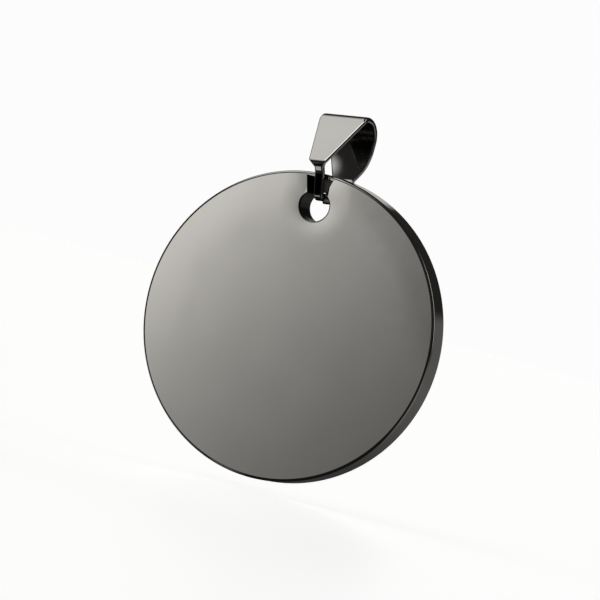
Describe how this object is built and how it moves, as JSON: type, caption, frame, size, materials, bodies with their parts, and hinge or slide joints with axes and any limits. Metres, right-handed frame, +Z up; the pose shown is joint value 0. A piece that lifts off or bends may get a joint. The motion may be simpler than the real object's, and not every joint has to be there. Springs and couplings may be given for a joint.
{
  "type": "disc pendant",
  "caption": "Thick round disc pendant with a small hole near its rim, hanging on the pin of a folded strip bail that a chain runs through.",
  "frame": {"origin": "top of the space inside the bail, where the chain or cord that carries the pendant sits", "axes": "+Z up, +Y from the disc's front face to its back face, +X to the right seen from the front"},
  "size_m": [0.03, 0.0074, 0.0364],
  "materials": {
    "disc": "polished gunmetal-toned steel",
    "bail": "polished steel"
  },
  "bodies": {
    "bail": {"bail": "bail"},
    "disc": {"disc": "disc"}
  },
  "joints": [
    {"name": "disc_swing", "type": "hinge", "parent": "bail", "child": "disc", "pos_m": [0, 0, -0.00781], "axis": [0, 1, 0], "range_deg": [-40, 40]}
  ]
}
